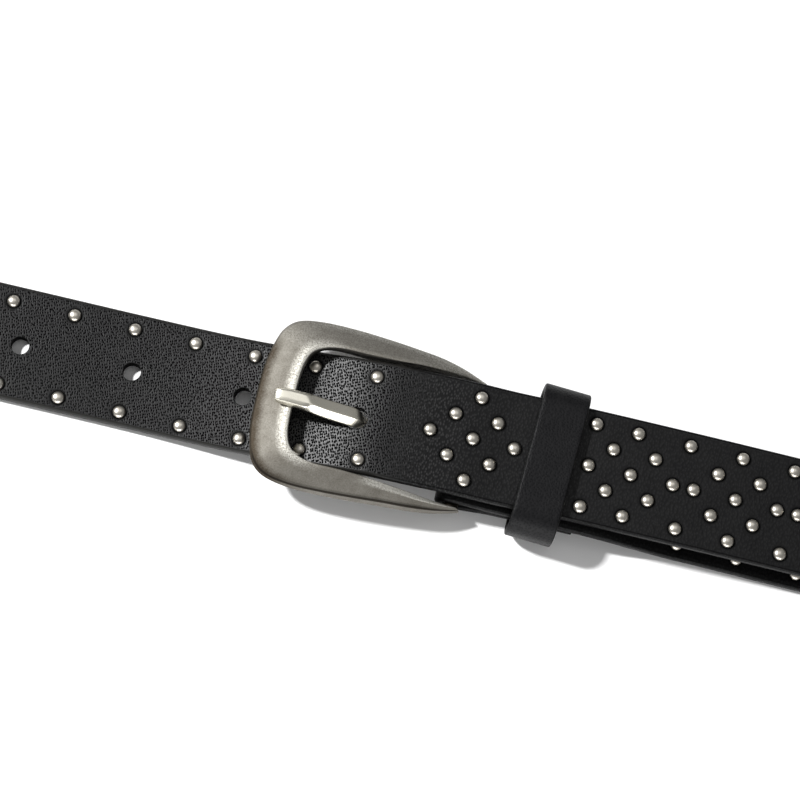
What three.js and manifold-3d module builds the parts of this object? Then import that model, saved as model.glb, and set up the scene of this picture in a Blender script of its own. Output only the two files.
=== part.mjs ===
// Studded leather belt, fastened, lying on a flat surface.
// Millimetres, +Z up. The buckle side of the loop lies face up along X; past
// the flat stretch the strap turns onto its lower edge and goes round behind.
import * as THREE from 'three';
import { mergeVertices } from 'three/addons/utils/BufferGeometryUtils.js';
import Module from 'manifold-3d';

const wasm = await Module();
wasm.setup();

// ---------------------------------------------------------------- dimensions
const STRAP_WIDTH = 25.4;
const STRAP_THICK = 2.5;
const SKIVED_THICK = 2.0;        // thinned leather in the fold and beneath it
const EDGE_BEVEL = 0.75;         // rounding of the strap's long edges
const HOLE_DIA = 4.0;
const HOLE_PITCH = 25.0;
const HOLES_LEFT = 3;            // free holes beside the one in use
const STUD_DIA = 2.8;
const STUD_RISE = 1.0;
const STUD_ROW = 9.4;            // edge row, from the strap's middle line
const STUD_PITCH = 13.5;         // along the edge rows
const GRID = 4.67;               // pitch of the tail's five-row pattern
const PUNCH_Y = -0.42;           // holes and left studs sit off the middle line
const PRONG_HOLE_Y = -0.8;       // the hole in use is pulled on by the prong

const BAR_X = 24.2, BAR_Z = 4.05, BAR_R = 1.6;   // heel bar inside the fold
const FOLD_IN = BAR_R + 0.25;
const KEEPER = { x: 42.7, y: 0.3, band: 10.3, wide: 34.4, inWide: 31.0, high: 13.0, wall: 1.8, r: 5.6, turn: -2.8 };
const FRAME_Y = 0.55, EYE_Y = -0.2, FOLD_Y = -0.2;

const LOOP_CX = 20.0;            // middle of the flat stretch
const LOOP_HALF = 465.0;         // half of the closed strap line
const FLAT_HALF = 106.0;         // flat, face up, on each side of the middle
const TAIL_END = 125.0;

// the part's origin: middle of its box on the surface it lies on
const ORIGIN = new THREE.Vector3(20.0, 59.26, 0);

// ------------------------------------------------------------ layer tables
// x: along the belt, z: mid height, t: thickness, y: sideways drift
const FOLD_BACK = [
  { x: 51.0, z: 3.1, t: SKIVED_THICK, y: -0.2 },
  { x: 34.0, z: 3.1, t: SKIVED_THICK, y: -0.1 },
  { x: BAR_X, z: BAR_Z - FOLD_IN - SKIVED_THICK / 2, t: SKIVED_THICK, y: FOLD_Y },
];
const LOWER = [
  { x: BAR_X, z: BAR_Z + FOLD_IN + SKIVED_THICK / 2, t: SKIVED_THICK, y: FOLD_Y },
  { x: 34.0, z: 5.65, t: STRAP_THICK, y: -0.1 },
  { x: 52.0, z: 5.65, t: STRAP_THICK, y: -0.3 },
  { x: 76.0, z: 1.25, t: STRAP_THICK, y: 0.0 },
  { x: 100.0, z: 1.25, t: STRAP_THICK, y: -0.3 },
  { x: LOOP_CX + FLAT_HALF, z: 1.25, t: STRAP_THICK, y: -0.5 },
];
const UPPER = [
  { x: LOOP_CX - FLAT_HALF, z: 1.25, t: STRAP_THICK, y: 0.35 },
  { x: -58.0, z: 1.25, t: STRAP_THICK, y: 0.42 },
  { x: -50.0, z: 1.4, t: STRAP_THICK, y: 0.42 },
  { x: -39.0, z: 2.0, t: STRAP_THICK, y: 0.34 },
  { x: -26.0, z: 3.55, t: STRAP_THICK, y: 0.2 },
  { x: -10.0, z: 6.5, t: STRAP_THICK, y: 0.38 },
  { x: 8.0, z: 10.1, t: STRAP_THICK, y: 0.55 },
  { x: 22.0, z: 10.15, t: STRAP_THICK, y: 0.78 },
  { x: 34.0, z: 9.45, t: STRAP_THICK, y: 0.95 },
  { x: 48.0, z: 9.5, t: STRAP_THICK, y: 1.18 },
  { x: 74.0, z: 9.2, t: STRAP_THICK, y: 1.33 },
  { x: 100.0, z: 8.3, t: STRAP_THICK, y: 1.45 },
  { x: TAIL_END, z: 7.2, t: STRAP_THICK, y: 1.55 },
];
// width of the tail towards its rounded tip
const TIP = [
  { x: 112.0, w: 25.4 }, { x: 116.0, w: 24.3 }, { x: 120.0, w: 20.6 },
  { x: 122.5, w: 16.4 }, { x: 124.2, w: 11.0 }, { x: TAIL_END, w: 5.0 },
];
// plan curvature (1/mm) and lean from flat (degrees) along half of the loop
const ROUND = [
  { s: 0, k: 0 }, { s: 114, k: 0 }, { s: 185, k: 0.01927959 },
  { s: 270, k: 0.01927959 }, { s: 320, k: 0.00197889 }, { s: LOOP_HALF, k: 0.00197889 },
];
const LEAN = [{ s: FLAT_HALF, a: 0 }, { s: 196, a: 90 }];

// studs of the tail's pattern: column steps of GRID from x0, rows 0 (top) to 4
const PATTERN_X0 = 15.9;
const DIAMOND = [
  { c: 0, r: 2 }, { c: 1, r: 1 }, { c: 1, r: 3 }, { c: 2, r: 0 }, { c: 2, r: 4 },
  { c: 2, r: 2 }, { c: 3, r: 1 }, { c: 3, r: 3 }, { c: 4, r: 2 },
];
const DIAMOND_STARTS = [0, 7.5, 12.5, 17.5];     // columns of the four diamonds
const PAIR_COLUMNS = [7.5, 12, 17];              // edge pairs between them
// edge pairs from the loop to the prong: x of the back stud and the front stud
const LEFT_PAIRS = [
  { back: -78.9, front: -77.5 }, { back: -65.2, front: -64.05 }, { back: -51.6, front: -50.4 },
  { back: -37.85, front: -36.85 }, { back: -24.4, front: -23.5 }, { back: -11.0, front: -10.35 },
  { back: 2.5, front: 2.5 },
];

// buckle frame, half outline: inner top edge, outer crease, heights
const FRAME_HALF = [
  { ix: -14.0, iy: 0.0, iz: 11.8, ox: -21.9, oy: 0.0, oz: 9.5, bulge: 0.4, zb: 7.6, flare: 0.0 },
  { ix: -13.95, iy: 4.8, iz: 11.8, ox: -21.7, oy: 6.5, oz: 9.5, bulge: 0.4, zb: 7.6, flare: 0.0 },
  { ix: -13.5, iy: 8.2, iz: 11.8, ox: -20.9, oy: 11.2, oz: 9.5, bulge: 0.4, zb: 7.6, flare: 0.0 },
  { ix: -12.4, iy: 10.7, iz: 11.8, ox: -19.4, oy: 15.0, oz: 9.5, bulge: 0.5, zb: 7.8, flare: 0.0 },
  { ix: -10.1, iy: 12.3, iz: 11.8, ox: -16.4, oy: 17.4, oz: 9.6, bulge: 0.6, zb: 8.1, flare: -0.3 },
  { ix: -6.6, iy: 13.05, iz: 11.9, ox: -11.0, oy: 18.4, oz: 9.7, bulge: 0.6, zb: 7.0, flare: -0.5 },
  { ix: -1.2, iy: 13.1, iz: 12.0, ox: -4.0, oy: 18.4, oz: 9.8, bulge: 0.6, zb: 6.0, flare: -0.5 },
  { ix: 5.0, iy: 13.35, iz: 11.6, ox: 3.0, oy: 18.0, oz: 9.7, bulge: 0.6, zb: 5.5, flare: -0.3 },
  { ix: 10.0, iy: 13.7, iz: 11.0, ox: 9.2, oy: 17.5, oz: 9.4, bulge: 0.55, zb: 5.0, flare: 0.0 },
  { ix: 15.0, iy: 14.0, iz: 9.9, ox: 15.2, oy: 17.0, oz: 8.6, bulge: 0.5, zb: 4.2, flare: 0.2 },
  { ix: 20.0, iy: 14.25, iz: 8.3, ox: 20.6, oy: 16.1, oz: 7.2, bulge: 0.35, zb: 3.0, flare: 0.4 },
  { ix: 25.0, iy: 14.1, iz: 6.0, ox: 26.0, oy: 14.6, oz: 5.3, bulge: 0.1, zb: 2.3, flare: 0.3 },
];
const FRAME_STEPS = 3;

// prong, heel to tip: middle line, width, thickness, top bevel, ridge, sideways place
const PRONG = [
  { x: 22.0, z: 3.6, w: 3.6, t: 2.0, b: 0.2, r: 0.0, y: -0.2 },
  { x: 14.0, z: 3.0, w: 4.0, t: 2.1, b: 0.3, r: 0.0, y: -0.2 },
  { x: 7.0, z: 3.0, w: 4.0, t: 2.1, b: 0.3, r: 0.0, y: -0.25 },
  { x: 4.4, z: 3.2, w: 3.6, t: 1.9, b: 0.3, r: 0.0, y: -0.4 },
  { x: 2.9, z: 4.1, w: 3.3, t: 1.8, b: 0.3, r: 0.0, y: -0.5 },
  { x: 1.9, z: 5.6, w: 3.3, t: 1.8, b: 0.3, r: 0.0, y: -0.55 },
  { x: 1.3, z: 7.3, w: 3.3, t: 1.8, b: 0.4, r: 0.1, y: -0.6 },
  { x: 0.85, z: 9.1, w: 3.3, t: 1.8, b: 0.5, r: 0.3, y: -0.6 },
  { x: 0.1, z: 10.6, w: 3.8, t: 1.9, b: 0.8, r: 0.5, y: -0.6 },
  { x: -1.4, z: 11.4, w: 4.1, t: 2.1, b: 0.9, r: 0.5, y: -0.57 },
  { x: -6.5, z: 12.1, w: 4.0, t: 2.1, b: 0.9, r: 0.5, y: -0.42 },
  { x: -9.9, z: 12.75, w: 3.8, t: 2.1, b: 0.9, r: 0.5, y: -0.18 },
  { x: -11.6, z: 13.05, w: 3.7, t: 2.1, b: 0.6, r: 0.0, y: -0.12 },
  { x: -15.0, z: 13.1, w: 3.6, t: 2.0, b: 0.6, r: 0.0, y: 0.0 },
  { x: -17.4, z: 12.95, w: 3.4, t: 1.8, b: 0.7, r: 0.0, y: 0.03 },
  { x: -18.0, z: 12.6, w: 2.7, t: 1.1, b: 0.4, r: 0.0, y: 0.03 },
];

// ------------------------------------------------------------------ helpers
const ease = (t) => { const u = Math.min(1, Math.max(0, t)); return u * u * (3 - 2 * u); };

// eased (or straight) reading of a table's column
function read(rows, key, value, at, smooth = true) {
  if (rows.length === 1) return rows[0][value];
  const up = rows[rows.length - 1][key] > rows[0][key];
  for (let i = 0; i < rows.length - 1; i++) {
    const a = rows[i], b = rows[i + 1];
    const inside = up ? at <= b[key] : at >= b[key];
    if (inside || i === rows.length - 2) {
      const t = Math.min(1, Math.max(0, (at - a[key]) / (b[key] - a[key])));
      return a[value] + (b[value] - a[value]) * (smooth ? ease(t) : t);
    }
  }
  return rows[rows.length - 1][value];
}

// smooth reading of a table's column along x, flat at its highs and lows
function curve(rows, value, x) {
  const dir = Math.sign(rows[rows.length - 1].x - rows[0].x);
  let i = 0;
  while (i < rows.length - 2 && (x - rows[i + 1].x) * dir > 0) i++;
  const rate = (k) => (k < 0 || k > rows.length - 2 ? 0 : (rows[k + 1][value] - rows[k][value]) / (rows[k + 1].x - rows[k].x));
  const slope = (k) => { const a = rate(k - 1), b = rate(k); return a * b > 0 ? (2 * a * b) / (a + b) : 0; };
  const h = rows[i + 1].x - rows[i].x, t = Math.min(1, Math.max(0, (x - rows[i].x) / h));
  return (1 + 2 * t) * (1 - t) ** 2 * rows[i][value] + t * (1 - t) ** 2 * h * slope(i)
    + t * t * (3 - 2 * t) * rows[i + 1][value] - t * t * (1 - t) * h * slope(i + 1);
}

// a closed solid lofted through rings of equal length, capped at both ends
function loft(rings) {
  const n = rings[0].length, pos = [], idx = [];
  for (const ring of rings) for (const p of ring) pos.push(p.x, p.y, p.z);
  for (let i = 0; i < rings.length - 1; i++) {
    for (let j = 0; j < n; j++) {
      const a = i * n + j, b = i * n + (j + 1) % n, c = a + n, d = b + n;
      idx.push(a, b, d, a, d, c);
    }
  }
  for (const [k, flip] of [[0, true], [rings.length - 1, false]]) {
    for (let j = 1; j < n - 1; j++) {
      const t = [k * n, k * n + j, k * n + j + 1];
      if (flip) t.reverse();
      idx.push(...t);
    }
  }
  const g = new THREE.BufferGeometry();
  g.setAttribute('position', new THREE.Float32BufferAttribute(pos, 3));
  g.setIndex(idx);
  return g;
}

function toSolid(geometry) {
  const g = geometry.clone();
  for (const name of Object.keys(g.attributes)) if (name !== 'position') g.deleteAttribute(name);
  const m = mergeVertices(g, 1e-4);
  const solid = new wasm.Manifold(new wasm.Mesh({
    numProp: 3,
    vertProperties: new Float32Array(m.attributes.position.array),
    triVerts: new Uint32Array(m.index.array),
  }));
  return solid;
}

function toGeometry(solid) {
  const m = solid.getMesh();
  const g = new THREE.BufferGeometry();
  const pos = new Float32Array(m.numVert * 3);
  for (let i = 0; i < m.numVert; i++) for (let k = 0; k < 3; k++) pos[3 * i + k] = m.vertProperties[i * m.numProp + k];
  g.setAttribute('position', new THREE.BufferAttribute(pos, 3));
  g.setIndex(new THREE.BufferAttribute(new Uint32Array(m.triVerts), 1));
  g.computeVertexNormals();
  return g;
}

// ------------------------------------------------------------- strap's route
// Each station: p (middle), t (along), v (across, towards the back edge),
// n (face side), th (thickness), w (width).
function flatStation(rows, x, dir, w = STRAP_WIDTH) {
  const h = 0.05;
  const z = curve(rows, 'z', x), dz = (curve(rows, 'z', x + h) - curve(rows, 'z', x - h)) / (2 * h);
  const t = new THREE.Vector3(dir, 0, dz * dir).normalize();
  const v = new THREE.Vector3(0, 1, 0);
  return {
    p: new THREE.Vector3(x, curve(rows, 'y', x), z), t, v,
    n: new THREE.Vector3().crossVectors(t, v), th: curve(rows, 't', x), w,
  };
}

// plan curve of half of the loop, worked out once in 1 mm steps
const PLAN = [{ s: 0, x: 0, y: 0, a: 0 }];
for (let i = 0; i < LOOP_HALF; i++) {
  const q = PLAN[i], k = read(ROUND, 's', 'k', i + 0.5, false);
  const m = q.a + k / 2;
  PLAN.push({ s: i + 1, x: q.x + Math.cos(m), y: q.y + Math.sin(m), a: q.a + k });
}
const BACK_Y = PLAN[PLAN.length - 1].y;

// station on the loop; s runs from the middle of the front, to the right
function loopStation(s) {
  const half = s <= LOOP_HALF ? s : 2 * LOOP_HALF - s;
  const x = read(PLAN, 's', 'x', half, false), y = read(PLAN, 's', 'y', half, false);
  const a = read(PLAN, 's', 'a', half, false), lean = THREE.MathUtils.degToRad(read(LEAN, 's', 'a', half));
  const height = (q) => {
    const l = THREE.MathUtils.degToRad(read(LEAN, 's', 'a', q));
    return (STRAP_WIDTH / 2) * Math.sin(l) + (STRAP_THICK / 2) * Math.cos(l);
  };
  const slope = (height(half + 0.5) - height(half - 0.5));
  const drift = -0.5 + 0.85 * (s - FLAT_HALF) / (2 * (LOOP_HALF - FLAT_HALF));
  const left = s > LOOP_HALF;
  const t = new THREE.Vector3(Math.cos(a), Math.sin(a) * (left ? -1 : 1), slope * (left ? -1 : 1)).normalize();
  const side = new THREE.Vector3(0, 0, 1).cross(t).normalize();
  const up = new THREE.Vector3().crossVectors(t, side);
  const v = side.multiplyScalar(Math.cos(lean)).addScaledVector(up, Math.sin(lean));
  return {
    p: new THREE.Vector3(LOOP_CX + (left ? -x : x), y + drift, height(half)), t, v,
    n: new THREE.Vector3().crossVectors(t, v), th: STRAP_THICK, w: STRAP_WIDTH,
  };
}

function span(a, b, n) { return Array.from({ length: n + 1 }, (_, i) => a + (b - a) * i / n); }

function route() {
  const out = [];
  for (const x of [51, 44, 38, 34, 31, 28.5, 26]) out.push(flatStation(FOLD_BACK, x, -1));
  const r = FOLD_IN + SKIVED_THICK / 2;
  for (const a of span(-90, -270, 9)) {
    const q = THREE.MathUtils.degToRad(a), n = new THREE.Vector3(Math.cos(q), 0, Math.sin(q));
    const v = new THREE.Vector3(0, 1, 0);
    out.push({
      p: new THREE.Vector3(BAR_X, FOLD_Y, BAR_Z).addScaledVector(n, r),
      t: new THREE.Vector3().crossVectors(v, n), v, n, th: SKIVED_THICK, w: STRAP_WIDTH,
    });
  }
  for (const x of [26, 28.5, 31, 34, 43, 52, 57, 62, 67, 72, 76, 100]) out.push(flatStation(LOWER, x, 1));
  const arc = [FLAT_HALF, 114, ...span(120, 196, 16), ...span(202, 280, 11), ...span(290, 320, 2), ...span(345, LOOP_HALF, 5)];
  for (const s of arc) out.push(loopStation(s));
  for (const s of arc.slice(0, -1).reverse()) out.push(loopStation(2 * LOOP_HALF - s));
  for (const x of [-70, -58, -52, -46, -39, -32, ...span(-26, 8, 10), 15, 22, 28, 34, 48, ...span(60, 108, 3)]) out.push(flatStation(UPPER, x, 1));
  for (const row of TIP) out.push(flatStation(UPPER, row.x, 1, row.w));
  return out;
}

function strapRing(st) {
  const hw = st.w / 2, ht = st.th / 2, b = Math.min(EDGE_BEVEL, ht - 0.2, hw - 0.2);
  const outline = [
    { v: hw, n: -(ht - b) }, { v: hw, n: ht - b }, { v: hw - b, n: ht }, { v: -(hw - b), n: ht },
    { v: -hw, n: ht - b }, { v: -hw, n: -(ht - b) }, { v: -(hw - b), n: -ht }, { v: hw - b, n: -ht },
  ];
  return outline.map((q) => st.p.clone().addScaledVector(st.v, q.v).addScaledVector(st.n, q.n));
}

// small faceted dome set into the strap's face
function studAt(st, across) {
  const profile = [
    new THREE.Vector2(0, -0.3), new THREE.Vector2(STUD_DIA * 0.56, -0.3),
    new THREE.Vector2(STUD_DIA * 0.27, STUD_RISE), new THREE.Vector2(0, STUD_RISE),
  ];
  const g = new THREE.LatheGeometry(profile, 6);
  const base = st.p.clone().addScaledVector(st.v, across).addScaledVector(st.n, st.th / 2);
  const m = new THREE.Matrix4().makeBasis(st.t, st.n, new THREE.Vector3().crossVectors(st.t, st.n)).setPosition(base);
  g.applyMatrix4(m);
  return g;
}

function studs() {
  const out = [];
  const pair = (st) => { for (const side of [1, -1]) out.push(studAt(st, side * STUD_ROW)); };
  // edge rows: along the lower strap, round the back, and up to the buckle
  const x0 = 74.0;
  for (let x = x0; x < LOOP_CX + FLAT_HALF; x += STUD_PITCH) pair(flatStation(LOWER, x, 1));
  const rightStart = x0 + STUD_PITCH * Math.ceil((LOOP_CX + FLAT_HALF - x0) / STUD_PITCH) - LOOP_CX;
  const leftStart = 2 * LOOP_HALF - (LOOP_CX + 92.4);
  const n = Math.round((leftStart - rightStart) / STUD_PITCH), step = (leftStart - rightStart) / n;
  for (let i = 0; i <= n; i++) pair(loopStation(rightStart + i * step));
  for (const q of LEFT_PAIRS) {
    out.push(studAt(flatStation(UPPER, q.back, 1), STUD_ROW + PUNCH_Y), studAt(flatStation(UPPER, q.front, 1), -STUD_ROW + PUNCH_Y));
  }
  // tail
  const put = (c, r) => out.push(studAt(flatStation(UPPER, PATTERN_X0 + c * GRID, 1), (2 - r) * GRID));
  for (const c0 of DIAMOND_STARTS) for (const q of DIAMOND) put(c0 + q.c, q.r);
  for (const c of PAIR_COLUMNS) for (const r of [0, 4]) put(c, r);
  return out;
}

function holeCutter(x, across, length, width) {
  const shape = new THREE.Shape();
  const r = width / 2, d = (length - width) / 2;
  shape.absarc(d, 0, r, -Math.PI / 2, Math.PI / 2);
  shape.absarc(-d, 0, r, Math.PI / 2, Math.PI * 1.5);
  const g = new THREE.ExtrudeGeometry(shape, { depth: 10, bevelEnabled: false, curveSegments: 8 });
  g.translate(0, 0, -5);
  const st = flatStation(UPPER, x, 1);
  g.applyMatrix4(new THREE.Matrix4().makeBasis(st.t, st.v, st.n).setPosition(st.p.clone().addScaledVector(st.v, across)));
  return g;
}

// ------------------------------------------------------------------- strap
function buildStrap() {
  let solid = toSolid(loft(route().map(strapRing)));
  const all = studs().map(toSolid);
  while (all.length > 1) {
    const a = all.shift(), b = all.shift();
    all.push(a.add(b));
  }
  solid = solid.add(all[0]);
  for (let i = 1; i <= HOLES_LEFT; i++) solid = solid.subtract(toSolid(holeCutter(-i * HOLE_PITCH, PUNCH_Y, HOLE_DIA, HOLE_DIA)));
  solid = solid.subtract(toSolid(holeCutter(0.1, PRONG_HOLE_Y, 5.2, 4.7)));
  // slot in the fold for the prong's heel
  const slot = new THREE.BoxGeometry(9.4, 5.4, 8.9);
  slot.translate(23.8, EYE_Y, 7.95 - 8.9 / 2);
  return solid.subtract(toSolid(slot));
}

// ------------------------------------------------------------------ buckle
function frameRows() {
  const keys = Object.keys(FRAME_HALF[0]);
  const out = [];
  const at = (i) => FRAME_HALF[Math.min(FRAME_HALF.length - 1, Math.abs(i))];
  for (let i = 0; i < FRAME_HALF.length - 1; i++) {
    for (let s = 0; s < FRAME_STEPS; s++) {
      const u = s / FRAME_STEPS, row = {};
      for (const k of keys) {
        // mirrored start keeps the outer bar square to the middle line
        const sign = (k === 'iy' || k === 'oy') && i - 1 < 0 ? -1 : 1;
        const p0 = at(i - 1)[k] * sign, p1 = at(i)[k], p2 = at(i + 1)[k], p3 = at(i + 2)[k];
        row[k] = 0.5 * (2 * p1 + (p2 - p0) * u + (2 * p0 - 5 * p1 + 4 * p2 - p3) * u * u + (3 * p1 - p0 - 3 * p2 + p3) * u ** 3);
      }
      out.push(row);
    }
  }
  out.push({ ...FRAME_HALF[FRAME_HALF.length - 1] });
  return out;
}

function frameRing(row, mirror) {
  const inner = new THREE.Vector2(row.ix, row.iy * mirror), outer = new THREE.Vector2(row.ox, row.oy * mirror);
  const d = outer.clone().sub(inner), len = d.length();
  d.normalize();
  const at = (q, off, z) => new THREE.Vector3(q.x + d.x * off, q.y + d.y * off + FRAME_Y, z);
  return [
    at(inner, -row.flare, row.zb),
    at(inner, 0, row.iz - 0.45),
    at(inner, Math.min(0.55, len * 0.3), row.iz),
    at(outer, 0, row.oz),
    at(outer, row.bulge, row.oz - 0.45 * (row.oz - row.zb)),
    at(outer, -Math.min(0.7, len * 0.3), row.zb),
  ];
}

function buildFrame() {
  const rows = frameRows();
  const rings = [];
  for (const row of rows.slice().reverse()) rings.push(frameRing(row, 1));
  for (const row of rows.slice(1)) rings.push(frameRing(row, -1));
  const bar = new THREE.CylinderGeometry(BAR_R, BAR_R, 28.4, 16);
  bar.translate(BAR_X, FRAME_Y, BAR_Z);
  return toSolid(loft(rings)).add(toSolid(bar));
}

// -------------------------------------------------------------------- prong
function buildProng() {
  const rings = PRONG.map((row, i) => {
    const a = PRONG[Math.max(0, i - 1)], b = PRONG[Math.min(PRONG.length - 1, i + 1)];
    const t = new THREE.Vector3(b.x - a.x, 0, b.z - a.z).normalize();
    const v = new THREE.Vector3(0, -1, 0), n = new THREE.Vector3().crossVectors(t, v);
    const hw = row.w / 2, ht = row.t / 2, c = row.b;
    const outline = [
      { v: -(hw - 0.3), n: -ht }, { v: hw - 0.3, n: -ht }, { v: hw, n: -ht + 0.4 }, { v: hw, n: ht - c },
      { v: hw - c, n: ht }, { v: 0, n: ht + row.r }, { v: -(hw - c), n: ht }, { v: -hw, n: ht - c }, { v: -hw, n: -ht + 0.4 },
    ];
    return outline.map((q) => new THREE.Vector3(row.x, row.y, row.z).addScaledVector(v, q.v).addScaledVector(n, q.n));
  });
  const ring = new THREE.LatheGeometry([
    new THREE.Vector2(FOLD_IN, -2.0), new THREE.Vector2(3.0, -2.0),
    new THREE.Vector2(3.0, 2.0), new THREE.Vector2(FOLD_IN, 2.0), new THREE.Vector2(FOLD_IN, -2.0),
  ], 18);
  ring.translate(BAR_X, EYE_Y, BAR_Z);
  return toSolid(loft(rings)).add(toSolid(ring));
}

// ------------------------------------------------------------------- keeper
function roundedOutline(path, wide, low, high, r) {
  const w = wide / 2;
  path.moveTo(-w + r, low);
  path.lineTo(w - r, low);
  path.absarc(w - r, low + r, r, -Math.PI / 2, 0, false);
  path.lineTo(w, high - r);
  path.absarc(w - r, high - r, r, 0, Math.PI / 2, false);
  path.lineTo(-w + r, high);
  path.absarc(-w + r, high - r, r, Math.PI / 2, Math.PI, false);
  path.lineTo(-w, low + r);
  path.absarc(-w + r, low + r, r, Math.PI, Math.PI * 1.5, false);
  return path;
}

function buildKeeper() {
  const k = KEEPER;
  const shape = roundedOutline(new THREE.Shape(), k.wide, 0, k.high, k.r);
  shape.holes.push(roundedOutline(new THREE.Path(), k.inWide, k.wall, k.high - k.wall, k.r - 2.0));
  const g = new THREE.ExtrudeGeometry(shape, { depth: k.band, bevelEnabled: false, curveSegments: 6 });
  g.translate(0, 0, -k.band / 2);
  // outline's x is the belt's y, outline's y is up, depth runs along the belt
  g.applyMatrix4(new THREE.Matrix4().makeBasis(new THREE.Vector3(0, 1, 0), new THREE.Vector3(0, 0, 1), new THREE.Vector3(1, 0, 0)));
  g.rotateZ(THREE.MathUtils.degToRad(k.turn));
  g.translate(k.x, k.y, 0);
  return toSolid(g);
}

// ----------------------------------------------------------------- assembly
const leather = { color: 0x1b1b1d, roughness: 0.55, metalness: 0.0 };
const metal = { color: 0xb3ada3, roughness: 0.38, metalness: 1.0 };
const belt = new THREE.Group();
belt.name = 'studded_belt';

function addPiece(name, solid, look) {
  const g = toGeometry(solid);
  g.translate(-ORIGIN.x, -ORIGIN.y, -ORIGIN.z);
  const mesh = new THREE.Mesh(g, new THREE.MeshStandardMaterial(look));
  mesh.name = name;
  belt.add(mesh);
}

addPiece('belt_strap', buildStrap(), leather);
addPiece('keeper_loop', buildKeeper(), leather);
addPiece('buckle_frame', buildFrame(), metal);
addPiece('buckle_prong', buildProng(), metal);

export default belt;
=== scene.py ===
import math

import bpy
import numpy as np
from mathutils import Matrix, Vector
from mathutils.kdtree import KDTree


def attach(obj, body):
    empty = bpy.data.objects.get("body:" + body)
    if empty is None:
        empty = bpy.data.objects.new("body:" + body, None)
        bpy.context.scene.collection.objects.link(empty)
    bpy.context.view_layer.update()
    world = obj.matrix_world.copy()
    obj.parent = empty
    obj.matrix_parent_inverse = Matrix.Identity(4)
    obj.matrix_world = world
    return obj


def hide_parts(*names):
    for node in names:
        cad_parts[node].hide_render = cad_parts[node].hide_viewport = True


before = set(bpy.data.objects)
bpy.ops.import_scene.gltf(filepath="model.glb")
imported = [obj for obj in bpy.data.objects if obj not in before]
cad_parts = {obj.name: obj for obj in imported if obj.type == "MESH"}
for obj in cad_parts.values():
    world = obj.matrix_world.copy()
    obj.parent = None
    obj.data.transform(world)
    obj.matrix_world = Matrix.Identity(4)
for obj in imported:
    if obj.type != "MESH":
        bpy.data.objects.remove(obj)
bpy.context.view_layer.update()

MM = 0.001
UP = np.array([0.0, 0.0, 1.0])

# ------------------------------------------------------------ sizes, mm
STRAP_WIDTH, STRAP_THICK, SKIVED_THICK = 25.4, 2.5, 2.0
EDGE_ROUND = 0.8
HOLE_DIA, HOLE_PITCH, HOLES_LEFT = 4.0, 25.0, 3
STUD_ROW, STUD_PITCH, GRID = 9.4, 13.5, 4.67
BAR_X, BAR_Z, BAR_R = 24.2, 4.05, 1.6
FOLD_IN = BAR_R + 0.25
FRAME_Y, EYE_Y, FOLD_Y, PUNCH_Y, PRONG_HOLE_Y = 0.55, -0.2, -0.2, -0.42, -0.8
LOOP_CX, LOOP_HALF, FLAT_HALF, TAIL_END = 20.0, 465.0, 106.0, 125.0
ORIGIN = np.array([20.0, 59.26, 0.0])

# columns: x, mid height, thickness, sideways drift
FOLD_BACK = [(51.0, 3.1, SKIVED_THICK, -0.2), (34.0, 3.1, SKIVED_THICK, -0.1),
             (BAR_X, BAR_Z - FOLD_IN - SKIVED_THICK / 2, SKIVED_THICK, FOLD_Y)]
LOWER = [(BAR_X, BAR_Z + FOLD_IN + SKIVED_THICK / 2, SKIVED_THICK, FOLD_Y), (34.0, 5.65, STRAP_THICK, -0.1),
         (52.0, 5.65, STRAP_THICK, -0.3), (76.0, 1.25, STRAP_THICK, 0.0), (100.0, 1.25, STRAP_THICK, -0.3),
         (LOOP_CX + FLAT_HALF, 1.25, STRAP_THICK, -0.5)]
UPPER = [(LOOP_CX - FLAT_HALF, 1.25, STRAP_THICK, 0.35), (-58.0, 1.25, STRAP_THICK, 0.42), (-50.0, 1.4, STRAP_THICK, 0.42),
         (-39.0, 2.0, STRAP_THICK, 0.34), (-26.0, 3.55, STRAP_THICK, 0.2), (-10.0, 6.5, STRAP_THICK, 0.38),
         (8.0, 10.1, STRAP_THICK, 0.55), (22.0, 10.15, STRAP_THICK, 0.78), (34.0, 9.45, STRAP_THICK, 0.95),
         (48.0, 9.5, STRAP_THICK, 1.18), (74.0, 9.2, STRAP_THICK, 1.33), (100.0, 8.3, STRAP_THICK, 1.45), (TAIL_END, 7.2, STRAP_THICK, 1.55)]
# edge pairs from the loop to the prong: x of the back stud and the front stud
LEFT_PAIRS = [(-78.9, -77.5), (-65.2, -64.05), (-51.6, -50.4), (-37.85, -36.85), (-24.4, -23.5), (-11.0, -10.35), (2.5, 2.5)]
# columns: x, width
TIP = [(112.0, 25.4), (116.0, 24.3), (120.0, 20.6), (122.5, 16.4), (124.2, 11.0), (TAIL_END, 5.0)]
# columns: s, plan curvature; s, lean in degrees
ROUND = [(0, 0), (114, 0), (185, 0.01927959), (270, 0.01927959), (320, 0.00197889), (LOOP_HALF, 0.00197889)]
LEAN = [(FLAT_HALF, 0), (196, 90)]

PATTERN_X0 = 15.9
DIAMOND = [(0, 2), (1, 1), (1, 3), (2, 0), (2, 4), (2, 2), (3, 1), (3, 3), (4, 2)]
DIAMOND_STARTS = [0, 7.5, 12.5, 17.5]
PAIR_COLUMNS = [7.5, 12, 17]

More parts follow.
